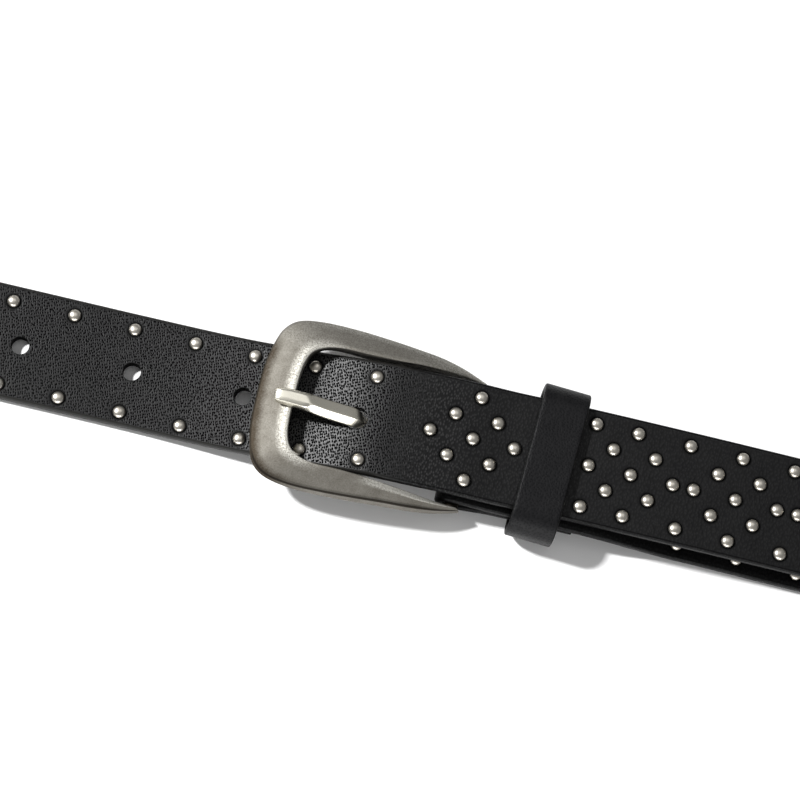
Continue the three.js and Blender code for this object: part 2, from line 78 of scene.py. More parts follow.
# columns: inner top x, y, z; outer crease x, y, z; bulge, underside, flare
FRAME_HALF = [
    (-14.0, 0.0, 11.8, -21.9, 0.0, 9.5, 0.4, 7.6, 0.0), (-13.95, 4.8, 11.8, -21.7, 6.5, 9.5, 0.4, 7.6, 0.0),
    (-13.5, 8.2, 11.8, -20.9, 11.2, 9.5, 0.4, 7.6, 0.0), (-12.4, 10.7, 11.8, -19.4, 15.0, 9.5, 0.5, 7.8, 0.0),
    (-10.1, 12.3, 11.8, -16.4, 17.4, 9.6, 0.6, 8.1, -0.3), (-6.6, 13.05, 11.9, -11.0, 18.4, 9.7, 0.6, 7.0, -0.5),
    (-1.2, 13.1, 12.0, -4.0, 18.4, 9.8, 0.6, 6.0, -0.5), (5.0, 13.35, 11.6, 3.0, 18.0, 9.7, 0.6, 5.5, -0.3),
    (10.0, 13.7, 11.0, 9.2, 17.5, 9.4, 0.55, 5.0, 0.0), (15.0, 14.0, 9.9, 15.2, 17.0, 8.6, 0.5, 4.2, 0.2),
    (20.0, 14.25, 8.3, 20.6, 16.1, 7.2, 0.35, 3.0, 0.4), (25.0, 14.1, 6.0, 26.0, 14.6, 5.3, 0.1, 2.3, 0.3)]
# columns: x, z, width, thickness, bevel, ridge, sideways place
PRONG = [
    (22.0, 3.6, 3.6, 2.0, 0.2, 0.0, -0.2), (14.0, 3.0, 4.0, 2.1, 0.3, 0.0, -0.2), (7.0, 3.0, 4.0, 2.1, 0.3, 0.0, -0.25),
    (4.4, 3.2, 3.6, 1.9, 0.3, 0.0, -0.4), (2.9, 4.1, 3.3, 1.8, 0.3, 0.0, -0.5), (1.9, 5.6, 3.3, 1.8, 0.3, 0.0, -0.55),
    (1.3, 7.3, 3.3, 1.8, 0.4, 0.1, -0.6), (0.85, 9.1, 3.3, 1.8, 0.5, 0.3, -0.6), (0.1, 10.6, 3.8, 1.9, 0.8, 0.5, -0.6),
    (-1.4, 11.4, 4.1, 2.1, 0.9, 0.5, -0.57), (-6.5, 12.1, 4.0, 2.1, 0.9, 0.5, -0.42), (-9.9, 12.75, 3.8, 2.1, 0.9, 0.5, -0.18),
    (-11.6, 13.05, 3.7, 2.1, 0.6, 0.0, -0.12), (-15.0, 13.1, 3.6, 2.0, 0.6, 0.0, 0.0), (-17.4, 12.95, 3.4, 1.8, 0.7, 0.0, 0.03),
    (-18.0, 12.6, 2.7, 1.1, 0.4, 0.0, 0.03)]
KEEPER = dict(x=42.7, y=0.3, band=10.3, wide=34.4, high=13.0, wall=1.8, r=5.6, turn=-2.8)


# -------------------------------------------------------------- helpers
def ease(t):
    t = min(1.0, max(0.0, t))
    return t * t * (3 - 2 * t)


def read(rows, col, at, smooth=True):
    up = rows[-1][0] > rows[0][0]
    for i in range(len(rows) - 1):
        a, b = rows[i], rows[i + 1]
        if (at <= b[0] if up else at >= b[0]) or i == len(rows) - 2:
            t = min(1.0, max(0.0, (at - a[0]) / (b[0] - a[0])))
            return a[col] + (b[col] - a[col]) * (ease(t) if smooth else t)
    return rows[-1][col]


def curve(rows, col, x):
    """Smooth reading of a table's column along x, flat at its highs and lows."""
    dirn = 1 if rows[-1][0] > rows[0][0] else -1
    i, last = 0, len(rows) - 2
    while i < last and (x - rows[i + 1][0]) * dirn > 0:
        i += 1

    def rate(k):
        return 0.0 if k < 0 or k > last else (rows[k + 1][col] - rows[k][col]) / (rows[k + 1][0] - rows[k][0])

    def slope(k):
        a, b = rate(k - 1), rate(k)
        return 2 * a * b / (a + b) if a * b > 0 else 0.0
    h = rows[i + 1][0] - rows[i][0]
    t = min(1.0, max(0.0, (x - rows[i][0]) / h))
    return ((1 + 2 * t) * (1 - t) ** 2 * rows[i][col] + t * (1 - t) ** 2 * h * slope(i)
            + t * t * (3 - 2 * t) * rows[i + 1][col] - t * t * (1 - t) * h * slope(i + 1))


def unit(v):
    return v / np.linalg.norm(v)


def flat_station(rows, x, dirn, w=STRAP_WIDTH):
    h = 0.05
    dz = (curve(rows, 1, x + h) - curve(rows, 1, x - h)) / (2 * h)
    t = unit(np.array([dirn, 0.0, dz * dirn]))
    v = np.array([0.0, 1.0, 0.0])
    return dict(p=np.array([x, curve(rows, 3, x), curve(rows, 1, x)]), t=t, v=v, n=np.cross(t, v),
                th=curve(rows, 2, x), w=w, x=x)


PLAN = [(0.0, 0.0, 0.0, 0.0)]
for i in range(int(LOOP_HALF)):
    q, k = PLAN[-1], read(ROUND, 1, i + 0.5, False)
    m = q[3] + k / 2
    PLAN.append((i + 1.0, q[1] + math.cos(m), q[2] + math.sin(m), q[3] + k))
PLAN_A = np.array(PLAN)


def lean_at(s):
    return math.radians(read(LEAN, 1, s))


def height_at(s):
    a = lean_at(s)
    return STRAP_WIDTH / 2 * math.sin(a) + STRAP_THICK / 2 * math.cos(a)


def loop_station(s):
    half = s if s <= LOOP_HALF else 2 * LOOP_HALF - s
    x, y, a = (float(np.interp(half, PLAN_A[:, 0], PLAN_A[:, c])) for c in (1, 2, 3))
    lean, left = lean_at(half), s > LOOP_HALF
    slope = height_at(half + 0.5) - height_at(half - 0.5)
    drift = -0.5 + 0.85 * (s - FLAT_HALF) / (2 * (LOOP_HALF - FLAT_HALF))
    sg = -1 if left else 1
    t = unit(np.array([math.cos(a), math.sin(a) * sg, slope * sg]))
    side = unit(np.cross(UP, t))
    up = np.cross(t, side)
    v = side * math.cos(lean) + up * math.sin(lean)
    return dict(p=np.array([LOOP_CX + (-x if left else x), y + drift, height_at(half)]), t=t, v=v,
                n=np.cross(t, v), th=STRAP_THICK, w=STRAP_WIDTH, x=None)


def span(a, b, n):
    return list(np.linspace(a, b, n + 1))


def place(p):
    return tuple((np.asarray(p) - ORIGIN) * MM)


def new_object(name, verts, faces, smooth=True, angle=None):
    me = bpy.data.meshes.new(name)
    me.from_pydata([tuple(v) for v in verts], [], faces)
    me.update()
    ob = bpy.data.objects.new(name, me)
    bpy.context.scene.collection.objects.link(ob)
    me.polygons.foreach_set("use_smooth", [smooth] * len(me.polygons))
    if angle is not None:
        me.set_sharp_from_angle(angle=math.radians(angle))
    return ob


def grid_faces(rows, cols, base=0, closed=True):
    out = []
    for i in range(rows - 1):
        for j in range(cols if closed else cols - 1):
            a, b = base + i * cols + j, base + i * cols + (j + 1) % cols
            out.append((a, b, b + cols, a + cols))
    return out


# --------------------------------------------------------------- studs
def stud_list():
    out = []

    def pair(st):
        for side in (1, -1):
            out.append((st, side * STUD_ROW))
    x = 74.0
    while x < LOOP_CX + FLAT_HALF:
        pair(flat_station(LOWER, x, 1))
        x += STUD_PITCH
    right = x - LOOP_CX
    left = 2 * LOOP_HALF - (LOOP_CX + 92.4)
    n = round((left - right) / STUD_PITCH)
    for i in range(n + 1):
        pair(loop_station(right + i * (left - right) / n))
    for back, front in LEFT_PAIRS:
        out.append((flat_station(UPPER, back, 1), STUD_ROW + PUNCH_Y))
        out.append((flat_station(UPPER, front, 1), -STUD_ROW + PUNCH_Y))

    def put(c, r):
        out.append((flat_station(UPPER, PATTERN_X0 + c * GRID, 1), (2 - r) * GRID))
    for c0 in DIAMOND_STARTS:
        for c, r in DIAMOND:
            put(c0 + c, r)
    for c in PAIR_COLUMNS:
        put(c, 0)
        put(c, 4)
    return out


STUDS = stud_list()
STUD_BASE = [st["p"] + st["v"] * a + st["n"] * st["th"] / 2 for st, a in STUDS]

# --------------------------------------------------------------- strap
rng = np.random.default_rng(7)


def route():
    out = []
    for x in span(51, 26, 20):
        out.append((flat_station(FOLD_BACK, x, -1), 0.0, 0))
    r = FOLD_IN + SKIVED_THICK / 2
    for a in span(-90, -270, 28):
        q = math.radians(a)
        n = np.array([math.cos(q), 0.0, math.sin(q)])
        v = np.array([0.0, 1.0, 0.0])
        out.append((dict(p=np.array([BAR_X, FOLD_Y, BAR_Z]) + n * r, t=np.cross(v, n), v=v, n=n,
                         th=SKIVED_THICK, w=STRAP_WIDTH, x=None), 0.4, 0))
    for x in span(26, 124.5, 110):
        out.append((flat_station(LOWER, x, 1), 0.4, 1))
    for s in span(FLAT_HALF, 196, 72) + span(197.2, 320, 88) + span(321.7, LOOP_HALF, 74):
        out.append((loop_station(s), 0.8, 0))
    for s in (span(FLAT_HALF, 196, 72) + span(197.2, 320, 88) + span(321.7, LOOP_HALF, 74))[:-1][::-1]:
        out.append((loop_station(2 * LOOP_HALF - s), 0.8, 0))
    # grain openness along the strap; where it is 0.8 or more the cut edge is also painted lighter, a painted light
    open_grain_and_edge_light = [(-86.0, 1.0), (-24.0, 1.0), (-14.0, 1.7), (-7.0, 1.6), (1.0, 1.15), (8.0, 0.95), (17.0, 0.66), (32.0, 0.44), (60.0, 0.38), (TAIL_END, 0.38)]
    for x in span(-85.4, 111.6, 350):
        g = curve(open_grain_and_edge_light, 1, x)
        out.append((flat_station(UPPER, x, 1), g, 1))
    for x in span(112, TAIL_END, 24):
        out.append((flat_station(UPPER, x, 1, read(TIP, 1, x, False)), 0.38, 1))
    return out


TOP_COLS, EDGE_COLS, LOW_COLS = 42, 5, 6


def ring_profile(w, th):
    r = min(EDGE_ROUND, th / 2 - 0.1, w / 2 - 0.3)
    hw, ht = w / 2, th / 2
    pts = []
    for k in range(TOP_COLS + 1):
        pts.append((hw - r - (w - 2 * r) * k / TOP_COLS, ht, 1))
    for k in range(1, EDGE_COLS + 1):
        a = math.pi / 2 * k / (EDGE_COLS + 1)
        pts.append((-(hw - r) - r * math.sin(a), ht - r + r * math.cos(a), 0))
    for k in range(1, EDGE_COLS + 1):
        a = math.pi / 2 * k / (EDGE_COLS + 1)
        pts.append((-(hw - r) - r * math.cos(a), -(ht - r) - r * math.sin(a), 0))
    for k in range(LOW_COLS + 1):
        pts.append((-(hw - r) + (w - 2 * r) * k / LOW_COLS, -ht, -1))
    for k in range(1, EDGE_COLS + 1):
        a = math.pi / 2 * k / (EDGE_COLS + 1)
        pts.append(((hw - r) + r * math.sin(a), -(ht - r) - r * math.cos(a), 0))
    for k in range(1, EDGE_COLS + 1):
        a = math.pi / 2 * k / (EDGE_COLS + 1)
        pts.append(((hw - r) + r * math.cos(a), (ht - r) + r * math.sin(a), 0))
    return pts


def dimple(r):
    return 1.0 - ease((r - 1.5) / 0.75)


def build_strap():
    kd = KDTree(len(STUD_BASE))
    for i, b in enumerate(STUD_BASE):
        kd.insert(Vector(b), i)
    kd.balance()
    rows = route()
    verts, uv, grain, edge, vec = [], [], [], [], []
    s = 0.0
    last = None
    cols = None
    for st, g, fine in rows:
        if last is not None:
            s += np.linalg.norm(st["p"] - last)
        last = st["p"]
        prof = ring_profile(st["w"], st["th"])
        cols = len(prof)
        run = 0.0
        for j, (a, b, side) in enumerate(prof):
            p = st["p"] + st["v"] * a + st["n"] * b
            near = 9.0
            if side == 1:
                for co, idx, dist in kd.find_n(Vector(p), 3):
                    d = p - STUD_BASE[idx]
                    sst = STUDS[idx][0]
                    if abs(d @ sst["n"]) < 1.5 and dist < 9:
                        near = math.hypot(float(d @ sst["t"]), float(d @ sst["v"]))
                        break
                if fine:
                    p = p - st["n"] * 0.10 * dimple(near)
            verts.append(place(p))
            if j:
                run += math.hypot(a - prof[j - 1][0], b - prof[j - 1][1])
            uv.append((s / 10.0, run / 10.0))
            grain.append(g)
            edge.append(0.0 if side == 1 else (1.0 if side == 0 else 0.5))
            vec.append(near)
    faces = [f[::-1] for f in grid_faces(len(rows), cols)]
    n = len(verts)
    faces.append(tuple(range(cols)))
    faces.append(tuple(reversed(range(n - cols, n))))
    ob = new_object("strap_leather_body", verts, faces)
    me = ob.data
    lay = me.uv_layers.new(name="belt")
    loops = np.empty(len(me.loops), dtype=np.int32)
    me.loops.foreach_get("vertex_index", loops)
    lay.data.foreach_set("uv", np.array(uv, dtype=np.float32)[loops].ravel())
    for name, data in (("grain", grain), ("edge", edge), ("stud_dist", vec)):
        at = me.attributes.new(name, "FLOAT", "POINT")
        at.data.foreach_set("value", np.array(data, dtype=np.float32))
    return ob


def prism(outline, depth, st):
    """Closed prism of an outline in a station's own plane, depth each way along its normal."""
    n = len(outline)
    verts = []
    for d in (-depth, depth):
        for a, b in outline:
            verts.append(place(st["p"] + st["t"] * a + st["v"] * b + st["n"] * d))
    faces = [(i, (i + 1) % n, n + (i + 1) % n, n + i) for i in range(n)]
    faces += [tuple(reversed(range(n))), tuple(range(n, 2 * n))]
    return verts, faces


def obround(length, width, y=PUNCH_Y, seg=16):
    r, d = width / 2, (length - width) / 2
    if d < 1e-6:
        return [(r * math.cos(a), y + r * math.sin(a)) for a in span(0, 2 * math.pi, 2 * seg)[:-1]]
    pts = [(d + r * math.cos(a), y + r * math.sin(a)) for a in span(-math.pi / 2, math.pi / 2, seg)]
    return pts + [(-d + r * math.cos(a), y + r * math.sin(a)) for a in span(math.pi / 2, math.pi * 1.5, seg)]


def cut(ob, parts):
    verts, faces = [], []
    for v, f in parts:
        base = len(verts)
        verts += v
        faces += [tuple(base + i for i in q) for q in f]
    tool = new_object("cutter", verts, faces, smooth=False)
    mod = ob.modifiers.new("cut", "BOOLEAN")
    mod.object, mod.operation, mod.solver = tool, "DIFFERENCE", "EXACT"
    dg = bpy.context.evaluated_depsgraph_get()
    me = bpy.data.meshes.new_from_object(ob.evaluated_get(dg))
    ob.modifiers.clear()
    old = ob.data
    ob.data = me
    bpy.data.meshes.remove(old)
    bpy.data.objects.remove(tool)
    me.polygons.foreach_set("use_smooth", [True] * len(me.polygons))
    me.set_sharp_from_angle(angle=math.radians(38))


strap = build_strap()
parts = []
for i in range(1, HOLES_LEFT + 1):
    parts.append(prism(obround(HOLE_DIA, HOLE_DIA), 4, flat_station(UPPER, -i * HOLE_PITCH, 1)))
parts.append(prism(obround(5.2, 4.7, PRONG_HOLE_Y), 4, flat_station(UPPER, 0.1, 1)))
slot_at = dict(p=np.array([23.8, EYE_Y, 7.95 - 4.45]), t=np.array([1.0, 0, 0]), v=np.array([0, 1.0, 0]), n=UP)
parts.append(prism([(-4.7, -2.7), (4.7, -2.7), (4.7, 2.7), (-4.7, 2.7)], 4.45, slot_at))
cut(strap, parts)


# ------------------------------------------------------------ stud domes
def build_studs():
    prof = [(1.40, -0.45), (1.42, 0.0), (1.38, 0.28), (1.26, 0.52), (1.06, 0.74), (0.80, 0.90), (0.52, 0.99), (0.25, 1.03)]
    seg = 18
    verts, faces = [], []
    for (st, a), base_p in zip(STUDS, STUD_BASE):
        base = len(verts)
        tilt = rng.normal(0, 0.025, 2)
        n = unit(st["n"] + st["t"] * tilt[0] + st["v"] * tilt[1])
        t = unit(st["t"] - n * (st["t"] @ n))
        v = np.cross(n, t)
        k = 1 + rng.normal(0, 0.012)
        for r, z in prof:
            for i in range(seg):
                q = 2 * math.pi * i / seg
                verts.append(place(base_p + (t * math.cos(q) + v * math.sin(q)) * r * k + n * (z - 0.06)))
        top = len(verts)
        verts.append(place(base_p + n * (1.045 - 0.06)))
        faces += grid_faces(len(prof), seg, base)
        last = base + (len(prof) - 1) * seg
        for i in range(seg):
            faces.append((last + i, last + (i + 1) % seg, top))
        faces.append(tuple(reversed(range(base, base + seg))))
    return new_object("studs_domes", verts, faces)


studs = build_studs()


# ---------------------------------------------------------------- buckle
def spline_rows(rows, steps, mirror_cols=()):
    out = []
    last = len(rows) - 1
    for i in range(last):
        for s in range(steps):
            u = s / steps
            row = []
            for c in range(len(rows[0])):
                sign = -1 if (c in mirror_cols and i - 1 < 0) else 1
                p0, p1 = rows[abs(i - 1)][c] * sign, rows[i][c]
                p2, p3 = rows[i + 1][c], rows[min(last, i + 2)][c]
                row.append(0.5 * (2 * p1 + (p2 - p0) * u + (2 * p0 - 5 * p1 + 4 * p2 - p3) * u * u
                                  + (3 * p1 - p0 - 3 * p2 + p3) * u ** 3))
            out.append(tuple(row))
    out.append(rows[-1])
    return out


def round_poly(pts, radii, seg=3):
    """Closed 2-D outline with each corner rounded by its own radius."""
    out, n = [], len(pts)
    for i in range(n):
        p, a, b = np.array(pts[i]), np.array(pts[i - 1]), np.array(pts[(i + 1) % n])
        da, db = np.linalg.norm(a - p), np.linalg.norm(b - p)
        r = min(radii[i], 0.45 * da, 0.45 * db)
        q0, q1 = p + (a - p) / da * r, p + (b - p) / db * r
        for k in range(seg + 1):
            u = k / seg
            out.append((1 - u) ** 2 * q0 + 2 * u * (1 - u) * p + u * u * q1)
    return out


def build_frame():
    rows = spline_rows(FRAME_HALF, 10, (1, 4))
    rings, dark_line_and_painted_shade, polish_and_painted_light = [], [], []
    for mirror, part in ((1, rows[::-1]), (-1, rows[1:])):
        for ix, iy, iz, ox, oy, oz, bulge, zb, flare in part:
            inner, outer = np.array([ix, iy * mirror]), np.array([ox, oy * mirror])
            d = outer - inner
            ln = np.linalg.norm(d)
            d = d / ln
            near = max(ln - 0.55, ln * 0.8)
            roof = iz + (oz - iz) * near / ln + 0.03
            sec = [(-flare, zb), (0.0, iz - 0.4), (0.12, iz - 0.02), (min(0.8, ln * 0.3), iz - 0.03),
                   (ln * 0.55, iz + (oz - iz) * 0.52 + 0.12), (near, roof), (ln, oz), (ln + bulge * 0.3, oz - 0.35),
                   (ln + bulge, oz - 0.5 * (oz - zb)), (ln + bulge * 0.4, zb + 0.25 * (oz - zb)),
                   (ln - min(0.7, ln * 0.3), zb)]
            rad = [0.4, 0.3, 0.25, 0.5, 2.0, 0.1, 0.16, 0.1, 0.6, 0.6, 0.5]
            # low: strength of a dark line along the lower arm's outer crease
            low = ease((oy - 9.0) / 8.0) if mirror < 0 else 0.0
            front = 1.0 - ease((ox + 18.5) / 12.0)
            # side: arm level, higher on the upper arm and rising to its right than on the lower arm; painted light, lit
            # and shaded copies of one metal
            side = 0.42 + 0.18 * ease((ox - 6.0) / 12.0) if mirror > 0 else 0.28
            # high: painted shade, darkening the upper arm's inner wall
            high = ease((oy - 9.0) / 5.0) if mirror > 0 else 0.0
            for c in range(len(sec)):
                # dark-line level: the lower arm's crease line, and painted shade on the upper arm's inner wall
                dark_line_and_painted_shade += [max(low * (1.0 if c == 6 else 0.5 if c == 5 else 0.0), high * (0.9, 0.5)[c] if c < 2 else 0.0)] * 4
                # across: left-bar level, light at the inner edge and dark brown towards the outer crease; worn bright
                # high spots of the antique finish plus a painted highlight along the inner edge
                across = (0.8, 0.9, 1.0, 0.74, 0.26, 0.02, 0.0, 0.0, 0.0, 0.0, 0.0)[c]
                # painted highlight: the upper arm's outer slope lightened along its outer edge
                if mirror > 0 and 3 < c < 9:
                    across = max(across, 0.36 * ease((oy - 9.0) / 6.0))
                # edge_on: painted light, the upper arm's outer bevel lighter and the inner part of its top a little
                # darker
                edge_on = (0.0, 0.0, -0.05, -0.07, -0.06, 0.22, 0.28, 0.28, 0.28, 0.0, 0.0)[c] if mirror > 0 else 0.0
                shown = across * front + (side + edge_on) * (1.0 - front)
                # painted highlight: a bright line along the lower arm's inner edge towards its tip
                if mirror < 0 and c in (2, 3):
                    shown = max(shown, 0.95 * ease((ox + 2.0) / 9.0))
                polish_and_painted_light += [shown] * 4
            ring = []
            for off, z in round_poly(sec, rad):
                q = inner + d * off
                ring.append((q[0], q[1] + FRAME_Y, z))
            rings.append(ring)
    cols = len(rings[0])
    verts = [place(p) for ring in rings for p in ring]
    faces = grid_faces(len(rings), cols)
    faces = [f[::-1] for f in faces]
    faces.append(tuple(range(cols)))
    faces.append(tuple(reversed(range(len(verts) - cols, len(verts)))))
    base, seg = len(verts), 28
    for y in span(-14.2, 14.2, 12):
        for i in range(seg):
            a = 2 * math.pi * i / seg
            verts.append(place((BAR_X + BAR_R * math.cos(a), FRAME_Y + y, BAR_Z + BAR_R * math.sin(a))))
    faces += [f[::-1] for f in grid_faces(13, seg, base)]
    faces.append(tuple(range(base, base + seg))[::-1])
    faces.append(tuple(range(len(verts) - seg, len(verts))))
    ob = new_object("buckle_frame_cast", verts, faces, angle=42)
    # dark-line attribute; every heel-bar vertex gets 1.0, painted shade over the whole heel bar
    at = ob.data.attributes.new("dark_line_and_painted_shade", "FLOAT", "POINT")
    at.data.foreach_set("value", np.array(dark_line_and_painted_shade + [1.0] * (len(verts) - len(dark_line_and_painted_shade)), dtype=np.float32))
    # per-vertex lightness: worn bright high spots on the left bar, and painted light and painted highlights on the arms
    at = ob.data.attributes.new("polish_and_painted_light", "FLOAT", "POINT")
    at.data.foreach_set("value", np.array(polish_and_painted_light + [0.0] * (len(verts) - len(polish_and_painted_light)), dtype=np.float32))
    return ob


def build_prong():
    rows = []
    src = PRONG
    last = len(src) - 1
    for i in range(last):
        n = 4 if i < last - 1 else 3
        for q in range(n):
            u = q / n
            a, b = src[i], src[i + 1]
            p0, p3 = src[max(0, i - 1)], src[min(last, i + 2)]
            row = []
            for c in range(7):
                if c < 2:
                    row.append(0.5 * (2 * a[c] + (b[c] - p0[c]) * u + (2 * p0[c] - 5 * a[c] + 4 * b[c] - p3[c]) * u * u
                                      + (3 * a[c] - p0[c] - 3 * b[c] + p3[c]) * u ** 3))
                else:
                    row.append(a[c] + (b[c] - a[c]) * u)
            rows.append(row)
    rows.append(list(src[-1]))
    rings = []
    for i, (x, z, w, th, bv, rg, y) in enumerate(rows):
        a, b = rows[max(0, i - 1)], rows[min(len(rows) - 1, i + 1)]
        t = unit(np.array([b[0] - a[0], 0.0, b[1] - a[1]]))
        v = np.array([0.0, -1.0, 0.0])
        n = np.cross(t, v)
        hw, ht = w / 2, th / 2
        flat = [(hw - 0.05, ht - 1.1), (hw - 0.42, ht - 0.12), (0.25 * hw, ht), (-0.375 * hw, ht), (-(hw - bv), ht), (-hw, ht - bv)]
        roof = [(hw, ht - 1.25), (0.64 * hw, ht - 0.45), (0.28 * hw, ht + 0.35), (-0.3 * hw, ht - 0.12),
                (-0.9 * hw, ht - 0.6), (-hw, ht - 0.8)]
        k = min(1.0, rg / 0.45)
        top = [(p[0] + (q[0] - p[0]) * k, p[1] + (q[1] - p[1]) * k) for p, q in zip(flat, roof)]
        sec = [(-(hw - 0.3), -ht), (hw - 0.3, -ht), (hw, -ht + 0.3)] + top + [(-hw, -ht + 0.3)]
        rad = [0.3, 0.3, 0.25, 0.2, 0.3, 0.12, 0.5, 0.25, 0.2, 0.25]
        rings.append([np.array([x, y, z]) + v * q[0] + n * q[1] for q in round_poly(sec, rad, 2)])
    cols = len(rings[0])
    verts = [place(p) for ring in rings for p in ring]
    faces = grid_faces(len(rings), cols)
    faces.append(tuple(reversed(range(cols))))
    faces.append(tuple(range(len(verts) - cols, len(verts))))
    base, seg = len(verts), 36
    sec = round_poly([(FOLD_IN, -2.0), (3.0, -2.0), (3.0, 2.0), (FOLD_IN, 2.0)], [0.25] * 4, 2)
    k = len(sec)
    for i in range(seg):
        a = 2 * math.pi * i / seg
        for r, y in sec:
            verts.append(place((BAR_X + r * math.cos(a), EYE_Y + y, BAR_Z + r * math.sin(a))))
    for i in range(seg):
        for j in range(k):
            a0, a1 = base + i * k + j, base + i * k + (j + 1) % k
            b0, b1 = base + ((i + 1) % seg) * k + j, base + ((i + 1) % seg) * k + (j + 1) % k
            faces.append((a0, b0, b1, a1))
    return new_object("buckle_prong_satin", verts, faces, angle=30)


buckle = build_frame()
prong = build_prong()


# ---------------------------------------------------------------- keeper
def build_keeper():
    k = KEEPER
    wmid, hmid, r = k["wide"] / 2 - k["wall"] / 2 + 0.05, k["high"] - k["wall"], k["r"] - k["wall"] / 2
    z0 = k["wall"] / 2
    path = []
    for cx, cz, a0 in ((wmid - r, z0 + r, -90), (wmid - r, z0 + hmid - r, 0), (-wmid + r, z0 + hmid - r, 90), (-wmid + r, z0 + r, 180)):
        for a in span(a0, a0 + 90, 12):
            q = math.radians(a)
            path.append((cx + r * math.cos(q), cz + r * math.sin(q), math.cos(q), math.sin(q)))
    full = []
    for i, p in enumerate(path):
        full.append(p)
        nx = path[(i + 1) % len(path)]
        if math.hypot(nx[0] - p[0], nx[1] - p[1]) > 2.0:
            n = max(2, int(math.hypot(nx[0] - p[0], nx[1] - p[1]) / 0.7))
            for t in range(1, n):
                u = t / n
                full.append((p[0] + (nx[0] - p[0]) * u, p[1] + (nx[1] - p[1]) * u, p[2], p[3]))
    turn = math.radians(k["turn"])
    verts, uv, edge = [], [], []
    run = 0.0
    cols = None
    for i, (y, z, ny, nz) in enumerate(full):
        if i:
            run += math.hypot(y - full[i - 1][0], z - full[i - 1][1])
        hb, ht = k["band"] / 2, k["wall"] / 2 - 0.02
        sec = []
        rr = 0.45
        top = [(hb - rr - (2 * hb - 2 * rr) * c / 16, ht, 1) for c in range(17)]
        side1 = [(-(hb - rr) - rr * math.sin(a), ht - rr + rr * math.cos(a), 0) for a in span(0, math.pi / 2, 4)[1:]]
        side2 = [(-hb + rr - rr * math.cos(a), -(ht - rr) - rr * math.sin(a), 0) for a in span(0, math.pi / 2, 4)]
        side3 = [((hb - rr) + rr * math.sin(a), -(ht - rr) - rr * math.cos(a), 0) for a in span(0, math.pi / 2, 4)]
        side4 = [((hb - rr) + rr * math.cos(a), (ht - rr) + rr * math.sin(a), 0) for a in span(0, math.pi / 2, 4)[:-1]]
        sec = top + side1 + side2 + side3 + side4
        cols = len(sec)
        for a, b, e in sec:
            yy, zz = y + ny * b, z + nz * b
            x2 = a * math.cos(turn) - yy * math.sin(turn)
            y2 = a * math.sin(turn) + yy * math.cos(turn)
            verts.append(place((k["x"] + x2, k["y"] + y2, max(0.0, zz))))
            uv.append((run / 10.0, a / 10.0))
            edge.append(0.0 if e == 1 else 1.0)
    rows = len(full)
    faces = []
    for i in range(rows):
        for j in range(cols):
            a0, a1 = i * cols + j, i * cols + (j + 1) % cols
            b0, b1 = ((i + 1) % rows) * cols + j, ((i + 1) % rows) * cols + (j + 1) % cols
            faces.append((a0, a1, b1, b0))
    ob = new_object("keeper_leather_loop", verts, faces)
    me = ob.data
    lay = me.uv_layers.new(name="belt")
    loops = np.empty(len(me.loops), dtype=np.int32)
    me.loops.foreach_get("vertex_index", loops)
    lay.data.foreach_set("uv", np.array(uv, dtype=np.float32)[loops].ravel())
    at = me.attributes.new("edge", "FLOAT", "POINT")
    at.data.foreach_set("value", np.array(edge, dtype=np.float32))
    return ob


keeper = build_keeper()


def outward(ob):
    """Face normals out, whatever the order the rings were made in."""
    import bmesh
    bm = bmesh.new()
    bm.from_mesh(ob.data)
    bmesh.ops.recalc_face_normals(bm, faces=bm.faces)
    bm.to_mesh(ob.data)
    bm.free()
    ob.data.update()


for ob in (studs, buckle, prong, keeper):
    outward(ob)


# ------------------------------------------------------------- materials
class Nodes:
    def __init__(self, name):
        self.mat = bpy.data.materials.new(name)
        self.mat.use_nodes = True
        self.t = self.mat.node_tree
        self.t.nodes.clear()
        self.out = self.t.nodes.new("ShaderNodeOutputMaterial")
        self.bsdf = self.t.nodes.new("ShaderNodeBsdfPrincipled")
        self.t.links.new(self.bsdf.outputs[0], self.out.inputs[0])

    def add(self, kind, **props):
        n = self.t.nodes.new(kind)
        for k, v in props.items():
            setattr(n, k, v)
        return n

    def link(self, a, b):
        self.t.links.new(a, b)

    def math(self, op, a, b=None, c=None, clamp=False):
        n = self.add("ShaderNodeMath", operation=op, use_clamp=clamp)
        for i, v in enumerate((a, b, c)):
            if v is None:
                continue
            if isinstance(v, (int, float)):
                n.inputs[i].default_value = v
            else:
                self.link(v, n.inputs[i])
        return n.outputs[0]

    def ramp(self, fac, stops, interp="LINEAR"):
        n = self.add("ShaderNodeValToRGB")
        n.color_ramp.interpolation = interp
        e = n.color_ramp.elements
        while len(e) < len(stops):
            e.new(0.5)
        for el, (pos, col) in zip(e, stops):
            el.position = pos
            el.color = (*col, 1.0) if len(col) == 3 else col
        self.link(fac, n.inputs[0])
        return n.outputs[0]

    def maprange(self, v, a, b, c, d, smooth=False):
        n = self.add("ShaderNodeMapRange")
        if smooth:
            n.interpolation_type = "SMOOTHSTEP"
        self.link(v, n.inputs[0])
        for i, q in enumerate((a, b, c, d)):
            n.inputs[i + 1].default_value = q
        return n.outputs[0]

    def mix(self, fac, a, b):
        n = self.add("ShaderNodeMix", data_type="RGBA")
        for sock, v in ((n.inputs[0], fac), (n.inputs[6], a), (n.inputs[7], b)):
            if isinstance(v, (int, float)):
                sock.default_value = v
            elif isinstance(v, tuple):
                sock.default_value = (*v, 1.0)
            else:
                self.link(v, sock)
        return n.outputs[2]


SHINE = 0.37


